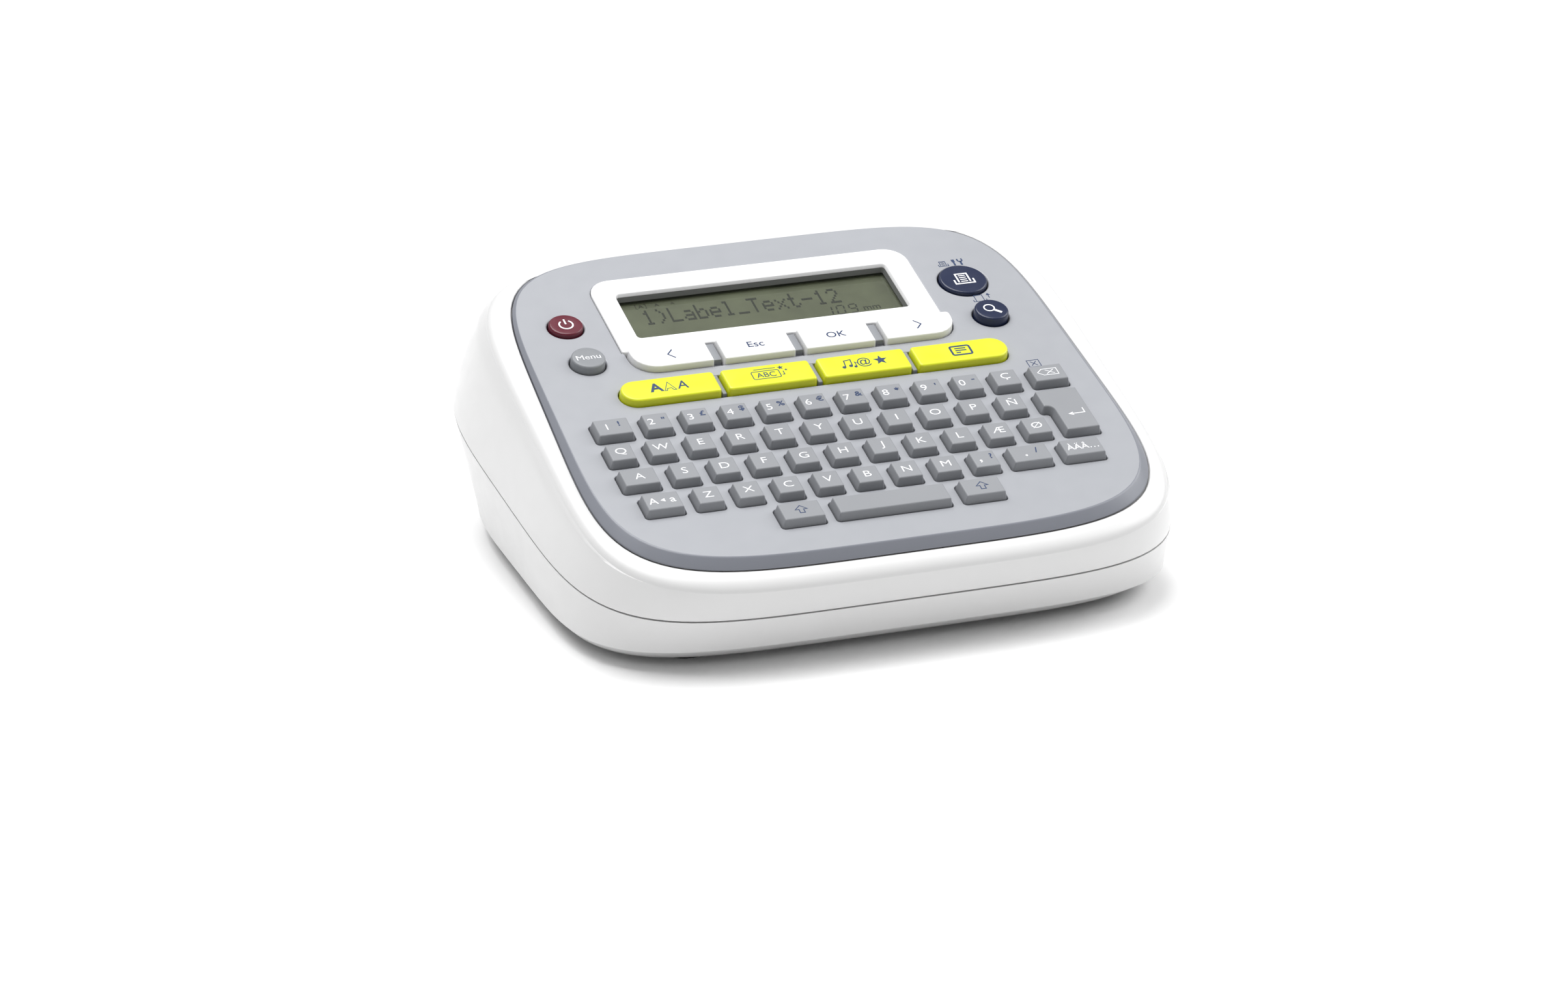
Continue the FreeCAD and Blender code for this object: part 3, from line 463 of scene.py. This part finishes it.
def lip(wide, narrow, roll):
    """A rounded edge that rolls down into an opening, from the wide outline to the narrow one."""
    rings = []
    for i in range(5):
        a = math.pi / 2 * i / 4
        share = math.sin(a)
        drop = roll * (1 - math.cos(a))
        rings.append([(p[0] + (q[0] - p[0]) * share, p[1] + (q[1] - p[1]) * share, -drop)
                      for p, q in zip(wide, narrow)])
    rings.append(level(narrow, -PANEL_THICK))
    panel.loft(rings, caps=False)
    top_loops.append(wide)
    base_loops.append(narrow)


for corners, radii, roll in openings:
    lip(outline(corners, radii, -roll), outline(corners, radii), roll)
for x, y, radius, height in ROUND.values():
    lip(circle(x, y, radius + 0.55, 64), circle(x, y, radius, 64), 0.5)
panel.merge(filled(top_loops, 0.0), Matrix.Identity(4))
panel.merge(filled(base_loops, -PANEL_THICK), Matrix.Identity(4))
cover = panel.build("panel_cover", GREY, "body", replaces="keypad_panel")
# second material: the painted shade of the sloping edge
cover.data.materials.append(EDGE_PAINTED_SHADE)

bars = Piece()
for keys, (front, rear), start, end in ((WHITE, WHITE_V, 1.6, 0.3), (LIME, LIME_V, 0.5, 0.1)):
    spans = list(keys.values())
    for a, b in zip(spans, spans[1:]):
        left, right = a[1] + GAP, b[0] - GAP
        shape = rect(left, right, front + start, rear - end)
        bars.loft([level(outline(shape, (0.35,) * 4, inset), z)
                   for z, inset in ((-2.3, 0.0), (0.12, 0.0), (0.3, 0.08), (0.4, 0.25))])
        bars.plate(rect(left + 0.1, right - 0.1, front - GAP - 0.2, rear + GAP + 0.2), -2.35, -1.2)
bars.build("divider_bars", BAR, "body")

# ---------------------------------------------------------------- display
x0, x1, y0, y1 = SURROUND
outer = rect(x0, x1, y0, y1)
outer_radii = (0.6, 0.6, 6.0, 6.0)
inner = rect(*WINDOW)
inner_radii = (0.8,) * 4
FRAME_FOOT = -1.9
FRAME_ROUND = 0.4
FRAME_SIDE = 0.1                           # the frame's outer side is straight up to here
frame_rings = [level(outline(outer, outer_radii), FRAME_FOOT), level(outline(outer, outer_radii), FRAME_SIDE)]
for i in range(1, 6):
    a = math.pi / 2 * i / 5
    frame_rings.append(level(outline(outer, outer_radii, FRAME_ROUND * (1 - math.cos(a))),
                             FRAME_SIDE + FRAME_ROUND * math.sin(a)))
for z, inset in ((0.5, -0.9), (0.46, -0.62), (0.3, -0.4), (-0.35, -0.12), (-0.5, -0.1), (FRAME_FOOT, -0.1)):
    frame_rings.append(level(outline(inner, inner_radii, inset), z))
surround = Piece()
surround.loft(frame_rings, closed=True)
surround.build("display_frame", TRIM, "body", replaces="display_surround")

recess = Piece()
recess.loft([level(outline(inner, inner_radii, inset), z)
             for inset, z in ((0.0, -0.42), (0.3, -1.85), (-0.05, -1.85), (-0.08, -0.5))], closed=True)
recess.build("display_recess", RECESS, "body")

lens = Piece()
lens.loft([level(outline(rect(x0 + 4.3, x1 - 5.0, 39.0, 61.5), (1.0,) * 4, inset), z)
           for z, inset in ((-2.58, 0.1), (-2.5, 0.0), (-2.0, 0.0), (FRAME_FOOT, 0.1))])
lens.build("display_lens", CLEAR, "body", replaces="display_window")

field = Piece()
field.loft([level(outline(rect(x0 + 4.5, x1 - 5.2, 39.2, 61.3), (0.6,) * 4, inset), z)
            for z, inset in ((-2.76, 0.1), (-2.74, 0.0), (-2.68, 0.0), (-2.66, 0.1))])
field.build("lcd_field", LCD, "body")

GLYPHS = {
    "1": (0x04, 0x0C, 0x04, 0x04, 0x04, 0x04, 0x0E), ")": (0x08, 0x04, 0x02, 0x02, 0x02, 0x04, 0x08),
    "L": (0x10, 0x10, 0x10, 0x10, 0x10, 0x10, 0x1F), "a": (0x00, 0x00, 0x0E, 0x01, 0x0F, 0x11, 0x0F),
    "b": (0x10, 0x10, 0x16, 0x19, 0x11, 0x11, 0x1E), "e": (0x00, 0x00, 0x0E, 0x11, 0x1F, 0x10, 0x0E),
    "l": (0x0C, 0x04, 0x04, 0x04, 0x04, 0x04, 0x0E), "_": (0x00, 0x00, 0x00, 0x00, 0x00, 0x00, 0x1F),
    "T": (0x1F, 0x04, 0x04, 0x04, 0x04, 0x04, 0x04), "x": (0x00, 0x00, 0x11, 0x0A, 0x04, 0x0A, 0x11),
    "t": (0x08, 0x08, 0x1C, 0x08, 0x08, 0x09, 0x06), "-": (0x00, 0x00, 0x00, 0x1F, 0x00, 0x00, 0x00),
    "2": (0x0E, 0x11, 0x01, 0x02, 0x04, 0x08, 0x1F),
}
dots = Piece()
DOT_X, DOT_Y = 0.60, 0.90
DOT_FILL = 0.9
INK_LOW, INK_HIGH = -2.67, -2.63


def dot_text(text, left, base):
    for place, letter in enumerate(text):
        for row, bits in enumerate(GLYPHS[letter]):
            for column in range(5):
                if bits >> (4 - column) & 1:
                    x = left + (place * 6 + column) * DOT_X
                    y = base + (6 - row) * DOT_Y
                    dots.plate(rect(x, x + DOT_X * DOT_FILL, y, y + DOT_Y * DOT_FILL), INK_LOW, INK_HIGH)


SEGMENTS = {"1": "bc", "0": "abcdef", "9": "abcdfg"}


def digit(letter, x, y, wide=2.0, tall=3.6, pen=0.4):
    lean = 0.12
    spots = {"a": ((0, 2), (1, 2)), "b": ((1, 1), (1, 2)), "c": ((1, 0), (1, 1)), "d": ((0, 0), (1, 0)),
             "e": ((0, 0), (0, 1)), "f": ((0, 1), (0, 2)), "g": ((0, 1), (1, 1))}
    for part in SEGMENTS[letter]:
        ends = []
        for column, step in spots[part]:
            rise = step * tall / 2
            ends.append(Vector((x + column * wide + rise * lean, y + rise)))
        trim = (ends[1] - ends[0]).normalized() * pen * 0.65
        dots.ribbon([tuple(ends[0] + trim), tuple(ends[1] - trim)], pen, INK_LOW, INK_HIGH)


dot_text("1)Label_Text-12", -34.0, 49.6)
for place, letter in enumerate("109"):
    digit(letter, 13.2 + place * 3.4, 44.7)

# ---------------------------------------------------------------- lettering and signs
LETTER_HALF = 0.02
fonts = {}


def lettering(text, size, bold):
    key = (text, size, bold)
    if key not in fonts:
        curve = bpy.data.curves.new("text", "FONT")
        curve.body = text
        curve.size = size
        curve.align_x = "CENTER"
        curve.align_y = "CENTER"
        curve.resolution_u = 4
        curve.offset = bold
        curve.extrude = LETTER_HALF
        obj = bpy.data.objects.new("text", curve)
        bpy.context.scene.collection.objects.link(obj)
        fonts[key] = bpy.data.meshes.new_from_object(obj)
        bpy.data.objects.remove(obj)
    return fonts[key]


def write(piece, text, x, y, z, size, bold=0.0, stretch=1.0, slant=0.0):
    mesh = lettering(text, size, bold)
    low = min(v.co.y for v in mesh.vertices)
    high = max(v.co.y for v in mesh.vertices)
    left = min(v.co.x for v in mesh.vertices)
    right = max(v.co.x for v in mesh.vertices)
    middle = Matrix.Translation((-(left + right) / 2, -(low + high) / 2, 0))
    shape = Matrix(((stretch, slant, 0, 0), (0, 1, 0, 0), (0, 0, 1, 0), (0, 0, 0, 1)))
    piece.merge(mesh, Matrix.Translation((x, y, z)) @ shape @ middle)


write(dots, "mm", 26.2, 45.9, INK_LOW + 0.02, 3.2)
for place, letter in enumerate("AAA"):
    write(dots, letter, -33.0 + place * 4.3, 57.7, INK_LOW + 0.02, 2.1 - 0.3 * place)
for x, lean in ((-34.4, -0.4), (-31.6, 0.4)):
    dots.ribbon([(x - lean, 58.6), (x, 58.6), (x, 56.8), (x - lean, 56.8)], 0.16, INK_LOW, INK_HIGH)
dots.build("lcd_segments", SEGMENT, "body", smooth=False)


def star(x, y, radius, dent=0.42):
    return [(x + math.sin(math.pi * i / 5) * radius * (1 if i % 2 == 0 else dent),
             y + math.cos(math.pi * i / 5) * radius * (1 if i % 2 == 0 else dent)) for i in range(9, -1, -1)]


def arrow_up(x, y, s):
    return [(x - 0.45 * s, y - 1.0 * s), (x + 0.45 * s, y - 1.0 * s), (x + 0.45 * s, y), (x + 1.15 * s, y),
            (x, y + 1.1 * s), (x - 1.15 * s, y), (x - 0.45 * s, y)]


def legends_of(name):
    """(white, navy) pieces of lettering that lie on one key node."""
    white, navy = Piece(), Piece()
    top = KEY_TOP + LETTER_LIFT
    if name in LEGENDS:
        for shape, marks in zip(KEYS[name], LEGENDS[name]):
            x = (shape[0][0] + shape[1][0]) / 2
            y = (shape[0][1] + shape[2][1]) / 2 + 0.1
            if len(marks) == 1:
                write(white, marks, x, y + (0.25 if marks in "ÇÑ" else 0.0), top, 3.3, -0.02, 1.2)
            elif marks[0] in ",.":
                write(white, marks[0], x - 1.2, y - 1.0, top, 4.4, 0.05)
                write(navy, marks[1], x + 1.9, y + 0.7, top, 2.7, 0.06)
            else:
                write(white, marks[0], x - 1.6, y - 0.1, top, 3.3, -0.02, 1.15)
                write(navy, marks[1], x + 1.7, y + 0.8, top, 2.6, 0.06, 1.1)
    if name == "key_case":
        x, y = -56.0, -27.0
        write(white, "A", x - 2.5, y, top, 3.3, 0.01, 1.05)
        write(white, "a", x + 2.5, y - 0.25, top, 3.3, 0.01, 1.1)
        white.plate([(x - 0.65, y), (x + 0.55, y - 0.65), (x + 0.55, y + 0.65)], KEY_TOP, KEY_TOP + INK)
    if name == "key_accent":
        write(white, "ÀÄÂ…", 54.35, -26.9, top, 2.9, 0.01)
    if name == "key_backspace":
        x, y = 57.8, 4.1
        tag = [(x - 2.9, y), (x - 1.5, y + 1.25), (x + 2.5, y + 1.25), (x + 2.5, y - 1.25), (x - 1.5, y - 1.25)]
        white.ribbon(tag, 0.2, KEY_TOP, KEY_TOP + INK, closed=True)
        for side in (-1, 1):
            white.ribbon([(x - 0.6, y - 0.8 * side), (x + 1.6, y + 0.8 * side)], 0.2, KEY_TOP, KEY_TOP + INK)
    if name == "key_enter":
        x, y = 58.3, -13.9
        white.ribbon([(x + 2.2, y + 1.9), (x + 2.2, y), (x - 1.2, y)], 0.26, KEY_TOP, KEY_TOP + INK)
        white.plate([(x - 2.3, y), (x - 0.9, y - 0.65), (x - 0.9, y + 0.65)], KEY_TOP, KEY_TOP + INK)
    if name in ("key_shift_left", "key_shift_right"):
        shape = KEYS[name][0]
        x = (shape[0][0] + shape[1][0]) / 2
        navy.ribbon(arrow_up(x, -37.3, 1.35), 0.24, KEY_TOP, KEY_TOP + INK, closed=True)
    return white, navy


# ---------------------------------------------------------------- keys
def add_marks(name, white, navy):
    if white.verts:
        white.build("legend_white_" + name, INK_WHITE, name, smooth=False)
    if navy.verts:
        navy.build("legend_navy_" + name, INK_NAVY, name, smooth=False)


key_levels = crown(KEY_TOP, 0.42, 0.48)
for name, shapes in KEYS.items():
    caps = Piece()
    for shape in shapes:
        rings = []
        for z, inset in key_levels:
            rings.append(level(outline(shape, (1.05,) * len(shape), GAP + inset), z))
        caps.loft(rings)
    caps.build("cap_" + name, KEY, name, replaces=name)
    add_marks(name, *legends_of(name))

for name, (left, right, radii) in WHITE.items():
    cap = Piece()
    cap.loft([level(outline(rect(left, right, *WHITE_V), radii, inset), z)
              for z, inset in crown(WHITE_TOP, 0.4, 0.15)])
    cap.build("cap_" + name, WHITE_KEY, name, replaces=name)

for name, (left, right, radii) in LIME.items():
    cap = Piece()
    levels = crown(1.9, 0.6, 0.15, segments=6)
    levels.append((LIME_TOP, 2.2))
    cap.loft([level(outline(rect(left, right, *LIME_V), [max(r, 1.1) for r in radii], inset), z)
              for z, inset in levels])
    cap.build("cap_" + name, LIME_KEY, name, replaces=name)

button_materials = {"button_power": BURGUNDY, "button_menu": MENU_GREY,
                    "button_print": NAVY, "button_preview": NAVY}
for name, (x, y, radius, height) in ROUND.items():
    reach = radius - GAP
    cap = Piece()
    levels = crown(height, 0.6, 0.1 if height > 1.5 else 0.05, base=-0.6, segments=6)
    dish = 0.06
    levels += [(height - dish * 0.5, reach * 0.45), (height - dish, reach * 0.8)]
    cap.loft([level(circle(x, y, reach - inset, 64), z) for z, inset in levels])
    cap.build("cap_" + name, button_materials[name], name, replaces=name)

# signs on the buttons
white, navy = Piece(), Piece()
x, y, radius, top = ROUND["button_power"]
white.ribbon(circle(x, y - 0.1, 1.75, 30, math.radians(125), math.radians(290)), 0.42, top - SINK, top + INK)
white.ribbon([(x, y + 0.1), (x, y + 2.2)], 0.42, top - SINK, top + INK)
add_marks("button_power", white, navy)

white, navy = Piece(), Piece()
x, y, radius, top = ROUND["button_menu"]
write(white, "Menu", x, y, top, 2.7, -0.01, 1.1)
add_marks("button_menu", white, navy)


def label_sign(piece, x, y, s, low, high):
    piece.ribbon([(x - 0.75 * s, y - 0.7 * s), (x - 0.75 * s, y + 1.0 * s), (x + 0.75 * s, y + 1.0 * s),
                  (x + 0.75 * s, y - 0.7 * s)], 0.2 * s, low, high)
    for step in range(4):
        line = y + (0.62 - step * 0.4) * s
        piece.ribbon([(x - 0.45 * s, line), (x + 0.45 * s, line)], 0.15 * s, low, high)
    piece.ribbon([(x - 1.25 * s, y - 0.15 * s), (x - 1.25 * s, y - 1.0 * s), (x + 1.25 * s, y - 1.0 * s),
                  (x + 1.25 * s, y - 0.15 * s)], 0.2 * s, low, high)


white, navy = Piece(), Piece()
x, y, radius, top = ROUND["button_print"]
label_sign(white, x, y + 0.1, 2.1, top - SINK, top + INK)
add_marks("button_print", white, navy)

white, navy = Piece(), Piece()
x, y, radius, top = ROUND["button_preview"]
white.ribbon(circle(x - 0.5, y + 0.6, 1.35, 32), 0.36, top - SINK, top + INK, closed=True)
white.ribbon([(x + 0.5, y - 0.4), (x + 2.1, y - 1.9)], 0.75, top - SINK, top + INK)
add_marks("button_preview", white, navy)

middle_x = {name: (span[0] + span[1]) / 2 for name, span in {**WHITE, **LIME}.items()}
y = sum(WHITE_V) / 2 + 0.2
for name, side in (("button_left", -1), ("button_right", 1)):
    white, navy = Piece(), Piece()
    x = middle_x[name]
    navy.ribbon([(x - 0.8 * side, y + 1.75), (x + 0.8 * side, y), (x - 0.8 * side, y - 1.75)], 0.34,
                WHITE_TOP - 0.02, WHITE_TOP + INK)
    add_marks(name, white, navy)
for name, text in (("button_escape", "Esc"), ("button_ok", "OK")):
    white, navy = Piece(), Piece()
    write(navy, text, middle_x[name], y, WHITE_TOP + LETTER_LIFT, 3.3, 0.02, 1.08)
    add_marks(name, white, navy)

y = sum(LIME_V) / 2 + 0.1
low, high = LIME_TOP - INK, LIME_TOP + INK
lime_text = LIME_TOP + LETTER_LIFT * 1.5
white, navy = Piece(), Piece()
x = middle_x["button_style"]
write(navy, "A", x - 3.6, y, lime_text, 4.6, 0.13, 1.05)
outlined_a = [(x - 1.6, y - 1.7), (x - 0.1, y + 1.7), (x + 1.4, y - 1.7), (x + 0.7, y - 1.7),
              (x + 0.35, y - 0.85), (x - 0.7, y - 0.85), (x - 1.0, y - 1.7)]
navy.ribbon(outlined_a, 0.18, low, high, closed=True)
write(navy, "A", x + 3.5, y, lime_text, 4.5, 0.02, 0.95, slant=0.12)
add_marks("button_style", white, navy)

white, navy = Piece(), Piece()
x = middle_x["button_frame"]
navy.ribbon(outline(rect(x - 4.4, x + 2.9, y - 1.75, y + 1.35), (0.5,) * 4), 0.22, low, high, closed=True)
navy.ribbon([(x - 3.4, y + 2.2), (x + 2.4, y + 2.2)], 0.22, low, high)
navy.ribbon([(x + 4.0, y + 0.5), (x + 4.0, y - 0.9), (x + 3.4, y - 0.9)], 0.22, low, high)
write(navy, "ABC", x - 0.75, y - 0.2, lime_text, 2.7)
navy.plate(star(x + 3.7, y + 2.0, 0.85), low, high)
navy.plate(star(x + 4.9, y + 0.9, 0.45), low, high)
add_marks("button_frame", white, navy)

white, navy = Piece(), Piece()
x = middle_x["button_symbol"]
navy.plate(star(x + 4.5, y + 0.1, 1.9), low, high)
write(navy, "@", x, y, lime_text, 3.9)
navy.ribbon([(x - 5.3, y - 1.1), (x - 5.0, y + 1.4), (x - 3.2, y + 1.7), (x - 3.4, y - 0.8)], 0.28, low, high)
navy.plate(circle(x - 5.7, y - 1.2, 0.5, 18), low, high)
navy.plate(circle(x - 3.8, y - 0.9, 0.5, 18), low, high)
navy.ribbon([(x - 2.3, y - 1.3), (x - 2.4, y + 0.5), (x - 1.7, y - 0.1)], 0.24, low, high)
navy.plate(circle(x - 2.65, y - 1.4, 0.42, 18), low, high)
add_marks("button_symbol", white, navy)

white, navy = Piece(), Piece()
x = middle_x["button_template"]
navy.ribbon(outline(rect(x - 2.6, x + 2.6, y - 1.8, y + 1.8), (0.5,) * 4), 0.55, low, high, closed=True)
for line, reach in ((0.85, 1.5), (0.0, 1.5), (-0.85, 0.6)):
    navy.ribbon([(x - 1.5, y + line), (x - 1.5 + reach * 2, y + line)], 0.4, low, high)
add_marks("button_template", white, navy)

# signs on the panel
signs = Piece()
label_sign(signs, 49.9, 57.3, 1.05, -LETTER_LIFT, INK)
signs.ribbon([(53.0, 56.1), (53.0, 57.6)], 0.5, -LETTER_LIFT, INK)
signs.ribbon([(53.0, 57.6), (53.0, 58.7)], 0.85, -LETTER_LIFT, INK)
signs.ribbon([(54.9, 56.0), (54.9, 57.8)], 0.55, -LETTER_LIFT, INK)
fork = [(54.3, 58.8), (54.3, 57.9), (54.6, 57.6), (55.2, 57.6), (55.5, 57.9), (55.5, 58.8)]
signs.ribbon(fork, 0.4, -LETTER_LIFT, INK)
signs.ribbon([(52.6, 39.6), (52.6, 42.2), (54.8, 42.2), (54.8, 39.6)], 0.2, -LETTER_LIFT, INK)
signs.ribbon([(51.9, 40.3), (51.9, 39.5), (55.5, 39.5), (55.5, 40.3)], 0.2, -LETTER_LIFT, INK)
signs.ribbon([(56.5, 40.6), (56.5, 42.0)], 0.24, -LETTER_LIFT, INK)
signs.plate([(55.9, 41.8), (57.1, 41.8), (56.5, 42.7)], -LETTER_LIFT, INK)
signs.ribbon(rect(55.4, 58.6, 9.6, 12.4), 0.2, -LETTER_LIFT, INK, closed=True)
for side in (-1, 1):
    signs.ribbon([(56.2, 11 - 0.85 * side), (57.8, 11 + 0.85 * side)], 0.2, -LETTER_LIFT, INK)
signs.build("panel_signs", INK_NAVY, "body", smooth=False)

# ---------------------------------------------------------------- carried-over CAD nodes
for name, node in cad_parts.items():
    material = NODE_MATERIALS.get(name, SHELL)
    node.data.materials.clear()
    node.data.materials.append(material)
    for face in node.data.polygons:
        face.use_smooth = True
        face.material_index = 0
    node.data.set_sharp_from_angle(angle=math.radians(35))

# ---------------------------------------------------------------- floor, light, camera
FLOOR_REACH = 3000
ground = Piece()
ground.loft([level(rect(-FLOOR_REACH, FLOOR_REACH, -FLOOR_REACH, FLOOR_REACH), z) for z in (-20.0, 0.0)])
floor_mesh = bpy.data.meshes.new("floor")
floor_mesh.from_pydata([tuple(c * MM for c in v) for v in ground.verts], [], ground.faces)
floor = bpy.data.objects.new("floor", floor_mesh)
bpy.context.scene.collection.objects.link(floor)
floor_mesh.materials.append(moulded("floor_pale", (0.93, 0.93, 0.93), 0.9, 0.003, 0.0))

camera_data = bpy.data.cameras.new("camera")
camera = bpy.data.objects.new("camera", camera_data)
bpy.context.scene.collection.objects.link(camera)
camera_data.sensor_width = 36
camera_data.lens = 118.49
camera_data.clip_start = 0.01
camera_data.clip_end = 20
camera.location = (-0.43984, -1.15185, 0.47350)
camera.rotation_euler = Vector((0.33015, 0.87695, -0.34924)).to_track_quat("-Z", "Y").to_euler()
bpy.context.scene.camera = camera


def softbox(name, place, size, power, target=(0, 0, 0.03)):
    light = bpy.data.lights.new(name, "AREA")
    light.shape = "RECTANGLE"
    light.size, light.size_y = size
    light.energy = power
    lamp = bpy.data.objects.new(name, light)
    bpy.context.scene.collection.objects.link(lamp)
    lamp.location = place
    lamp.rotation_euler = (Vector(target) - Vector(place)).to_track_quat("-Z", "Y").to_euler()


softbox("softbox_top", (-0.26, 0.25, 1.50), (1.4, 1.2), 30)
softbox("softbox_right", (1.40, 0.0, 1.10), (1.2, 1.2), 17)
world = bpy.data.worlds.new("studio")
bpy.context.scene.world = world
world.use_nodes = True
world.node_tree.nodes["Background"].inputs["Color"].default_value = (1, 1, 1, 1)
world.node_tree.nodes["Background"].inputs["Strength"].default_value = 0.38
bpy.context.scene.view_settings.view_transform = "Standard"
